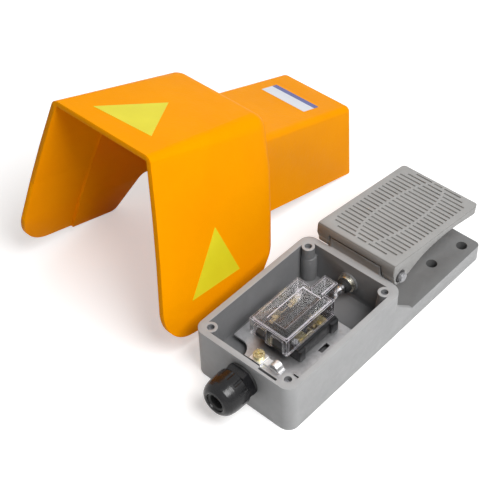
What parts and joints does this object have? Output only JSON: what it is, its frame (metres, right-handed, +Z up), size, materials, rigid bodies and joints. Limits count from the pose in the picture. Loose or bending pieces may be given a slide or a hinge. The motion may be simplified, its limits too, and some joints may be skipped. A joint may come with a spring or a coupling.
{
  "type": "industrial foot switch",
  "caption": "Industrial foot switch: cast box with a limit switch and push rod inside, hinged ribbed pedal, cable gland, and a guard hood that is also the box lid, standing beside it.",
  "frame": {"origin": "centre of the underside of the base casting", "axes": "+Y from the gland wall toward the pedal's free end, +Z up, X across the casting; the hood stands on the -X side"},
  "size_m": [0.2603, 0.2739, 0.1608],
  "materials": {
    "cast_grey": "painted, matt",
    "pedal_grey": "painted, matt",
    "bright_steel": "zinc plated",
    "spring_steel": "plain",
    "dark_steel": "blackened",
    "chromed": "polished",
    "brass": "plain",
    "zinc_yellow": "yellow zinc",
    "black_rubber": "matt",
    "black_plastic": "moulded",
    "clear_plastic": "clear",
    "hood_orange": "satin orange enamel",
    "sticker_yellow": "blank foil",
    "label_white": "blank foil"
  },
  "bodies": {
    "base": {"base_casting": "cast_grey", "hinge_pin": "bright_steel", "pin_clips": "dark_steel", "pedal_spring": "spring_steel", "rod_bushing": "brass", "bushing_nut": "brass", "rod_seal": "black_rubber", "mounting_plate": "bright_steel", "plate_screws": "zinc_yellow", "switch_base": "black_plastic", "switch_cover": "clear_plastic", "contact_spring": "spring_steel", "fixed_contacts": "brass", "terminal_screws": "zinc_yellow", "switch_screws": "bright_steel", "cover_panel": "black_plastic", "earth_screw": "zinc_yellow", "earth_washer": "bright_steel", "earth_clamp": "bright_steel", "gland_body": "black_plastic", "gland_washer": "black_rubber", "gland_locknut": "black_plastic", "gland_dome": "black_plastic", "gland_seal": "black_rubber", "hood_screws": "zinc_yellow"},
    "pedal": {"pedal": "pedal_grey"},
    "push_rod": {"push_rod": "chromed"},
    "plunger": {"switch_plunger": "bright_steel", "contact_bridge": "brass"},
    "hood": {"hood": "hood_orange", "warning_stickers": "sticker_yellow", "rating_label": "label_white"}
  },
  "joints": [
    {"name": "pedal_hinge", "type": "hinge", "parent": "base", "child": "pedal", "pos_m": [0, 0.01905, 0.0454], "axis": [-1, 0, 0], "range_deg": [0, 11], "stiffness_Nm_per_rad": 2, "springref_deg": -20.05, "deforming": ["pedal_spring"]},
    {"name": "rod_slide", "type": "slide", "parent": "base", "child": "push_rod", "axis": [0, -1, 0], "range_m": [0, 0.0037]},
    {"name": "plunger_slide", "type": "slide", "parent": "base", "child": "plunger", "axis": [0, -1, 0], "range_m": [0, 0.0037], "deforming": ["contact_spring"]},
    {"name": "hood_lift", "type": "slide", "parent": "base", "child": "hood", "axis": [0, 0, 1], "range_m": [0, 0.15]}
  ],
  "couplings": [
    {"joint": "rod_slide", "follows": "pedal_hinge", "m_per_rad": 0.0188},
    {"joint": "plunger_slide", "follows": "pedal_hinge", "m_per_rad": 0.0188}
  ]
}
